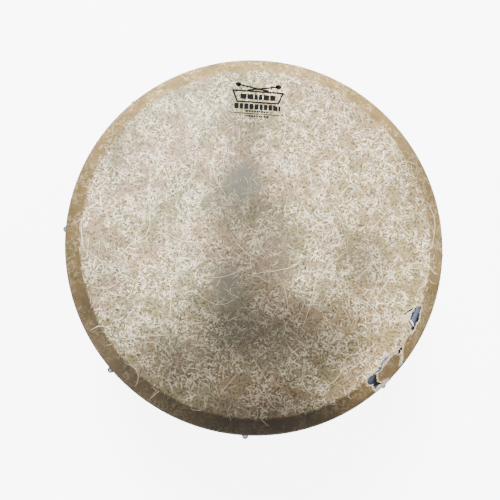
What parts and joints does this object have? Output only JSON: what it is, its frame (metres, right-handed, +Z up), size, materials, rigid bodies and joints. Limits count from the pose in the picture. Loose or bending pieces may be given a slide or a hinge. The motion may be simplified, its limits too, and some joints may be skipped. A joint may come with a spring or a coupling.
{
  "type": "timpani drum",
  "caption": "Hand-tuned kettledrum with a calfskin-look film head on a sliding rim hoop, tension rods with key-turned nuts, a copper bowl and telescoping legs.",
  "frame": {"origin": "on the floor, under the middle of the kettle, with the legs pushed in", "axes": "+Z up along the drum's axis; +X and +Y in the plane of the head"},
  "size_m": [0.4172, 0.4172, 0.262],
  "materials": {
    "head_film": "satin polyester film with cast-in fibres, like calfskin",
    "copper": "brushed and lacquered copper",
    "cast_aluminium": "bead-blasted casting with a turned crest",
    "hoop_aluminium": "extruded and rolled, satin",
    "black_steel": "black satin enamel",
    "chrome": "polished chrome plate",
    "black_cast": "black powder coat on a casting",
    "zinc_steel": "zinc plate",
    "rubber": "matt moulded rubber",
    "black_plastic": "fine-textured nylon"
  },
  "bodies": {
    "kettle": {"kettle_bowl": "copper", "bearing_edge_ring": "cast_aluminium", "vent_grommet": "rubber", "head_film": "head_film", "bracket_bolts": "zinc_steel", "bracket_nuts": "zinc_steel", "strut_caps": "black_plastic", "lug_bracket_1": "black_cast", "lug_bracket_2": "black_cast", "lug_bracket_3": "black_cast", "lug_bracket_4": "black_cast", "lug_bracket_5": "black_cast", "lug_bracket_6": "black_cast", "lug_bracket_7": "black_cast", "lug_bracket_8": "black_cast", "strut_tube_1": "chrome", "strut_tube_2": "chrome", "strut_tube_3": "chrome", "strut_tube_4": "chrome", "strut_bracket_1": "black_cast", "strut_bracket_2": "black_cast", "strut_bracket_3": "black_cast", "strut_bracket_4": "black_cast", "leg_collar_1": "black_cast", "leg_collar_2": "black_cast", "leg_collar_3": "black_cast", "leg_collar_4": "black_cast"},
    "hoop": {"rim_hoop": "hoop_aluminium", "head_collar": "head_film", "rim_band": "black_steel", "tension_rods": "chrome", "ear_rivets": "zinc_steel", "hoop_ear_1": "black_steel", "hoop_ear_2": "black_steel", "hoop_ear_3": "black_steel", "hoop_ear_4": "black_steel", "hoop_ear_5": "black_steel", "hoop_ear_6": "black_steel", "hoop_ear_7": "black_steel", "hoop_ear_8": "black_steel"},
    "nut_1": {"tuning_nut_1": "chrome"},
    "nut_2": {"tuning_nut_2": "chrome"},
    "nut_3": {"tuning_nut_3": "chrome"},
    "nut_4": {"tuning_nut_4": "chrome"},
    "nut_5": {"tuning_nut_5": "chrome"},
    "nut_6": {"tuning_nut_6": "chrome"},
    "nut_7": {"tuning_nut_7": "chrome"},
    "nut_8": {"tuning_nut_8": "chrome"},
    "leg_1": {"leg_rod_1": "chrome", "rubber_foot_1": "rubber"},
    "screw_1": {"thumb_screw_1": "black_plastic"},
    "leg_2": {"leg_rod_2": "chrome", "rubber_foot_2": "rubber"},
    "screw_2": {"thumb_screw_2": "black_plastic"},
    "leg_3": {"leg_rod_3": "chrome", "rubber_foot_3": "rubber"},
    "screw_3": {"thumb_screw_3": "black_plastic"},
    "leg_4": {"leg_rod_4": "chrome", "rubber_foot_4": "rubber"},
    "screw_4": {"thumb_screw_4": "black_plastic"}
  },
  "joints": [
    {"name": "hoop_slide", "type": "slide", "parent": "kettle", "child": "hoop", "axis": [0, 0, 1], "range_m": [-0.0035, 0.0021]},
    {"name": "tuning_nut_1_turn", "type": "hinge", "parent": "kettle", "child": "nut_1", "pos_m": [0.15384, 0.1361, 0.169], "axis": [0, 0, 1], "range_deg": [-1080, 1800]},
    {"name": "tuning_nut_2_turn", "type": "hinge", "parent": "kettle", "child": "nut_2", "pos_m": [0.01254, 0.20502, 0.169], "axis": [0, 0, 1], "range_deg": [-1080, 1800]},
    {"name": "tuning_nut_3_turn", "type": "hinge", "parent": "kettle", "child": "nut_3", "pos_m": [-0.1361, 0.15384, 0.169], "axis": [0, 0, 1], "range_deg": [-1080, 1800]},
    {"name": "tuning_nut_4_turn", "type": "hinge", "parent": "kettle", "child": "nut_4", "pos_m": [-0.20502, 0.01254, 0.169], "axis": [0, 0, 1], "range_deg": [-1080, 1800]},
    {"name": "tuning_nut_5_turn", "type": "hinge", "parent": "kettle", "child": "nut_5", "pos_m": [-0.15384, -0.1361, 0.169], "axis": [0, 0, 1], "range_deg": [-1080, 1800]},
    {"name": "tuning_nut_6_turn", "type": "hinge", "parent": "kettle", "child": "nut_6", "pos_m": [-0.01254, -0.20502, 0.169], "axis": [0, 0, 1], "range_deg": [-1080, 1800]},
    {"name": "tuning_nut_7_turn", "type": "hinge", "parent": "kettle", "child": "nut_7", "pos_m": [0.1361, -0.15384, 0.169], "axis": [0, 0, 1], "range_deg": [-1080, 1800]},
    {"name": "tuning_nut_8_turn", "type": "hinge", "parent": "kettle", "child": "nut_8", "pos_m": [0.20502, -0.01254, 0.169], "axis": [0, 0, 1], "range_deg": [-1080, 1800]},
    {"name": "leg_1_extend", "type": "slide", "parent": "kettle", "child": "leg_1", "axis": [0, 0, -1], "range_m": [0, 0.09]},
    {"name": "thumb_screw_1_turn", "type": "hinge", "parent": "kettle", "child": "screw_1", "pos_m": [0.06152, 0.17861, 0.0424], "axis": [-0.8988, 0.4384, 0], "range_deg": [0, 720]},
    {"name": "leg_2_extend", "type": "slide", "parent": "kettle", "child": "leg_2", "axis": [0, 0, -1], "range_m": [0, 0.09]},
    {"name": "thumb_screw_2_turn", "type": "hinge", "parent": "kettle", "child": "screw_2", "pos_m": [-0.17861, 0.06152, 0.0424], "axis": [-0.4384, -0.8988, 0], "range_deg": [0, 720]},
    {"name": "leg_3_extend", "type": "slide", "parent": "kettle", "child": "leg_3", "axis": [0, 0, -1], "range_m": [0, 0.09]},
    {"name": "thumb_screw_3_turn", "type": "hinge", "parent": "kettle", "child": "screw_3", "pos_m": [-0.06152, -0.17861, 0.0424], "axis": [0.8988, -0.4384, 0], "range_deg": [0, 720]},
    {"name": "leg_4_extend", "type": "slide", "parent": "kettle", "child": "leg_4", "axis": [0, 0, -1], "range_m": [0, 0.09]},
    {"name": "thumb_screw_4_turn", "type": "hinge", "parent": "kettle", "child": "screw_4", "pos_m": [0.17861, -0.06152, 0.0424], "axis": [0.4384, 0.8988, 0], "range_deg": [0, 720]}
  ],
  "couplings": [
    {"joint": "tuning_nut_1_turn", "follows": "hoop_slide", "rad_per_m": -8976},
    {"joint": "tuning_nut_2_turn", "follows": "hoop_slide", "rad_per_m": -8976},
    {"joint": "tuning_nut_3_turn", "follows": "hoop_slide", "rad_per_m": -8976},
    {"joint": "tuning_nut_4_turn", "follows": "hoop_slide", "rad_per_m": -8976},
    {"joint": "tuning_nut_5_turn", "follows": "hoop_slide", "rad_per_m": -8976},
    {"joint": "tuning_nut_6_turn", "follows": "hoop_slide", "rad_per_m": -8976},
    {"joint": "tuning_nut_7_turn", "follows": "hoop_slide", "rad_per_m": -8976},
    {"joint": "tuning_nut_8_turn", "follows": "hoop_slide", "rad_per_m": -8976}
  ]
}
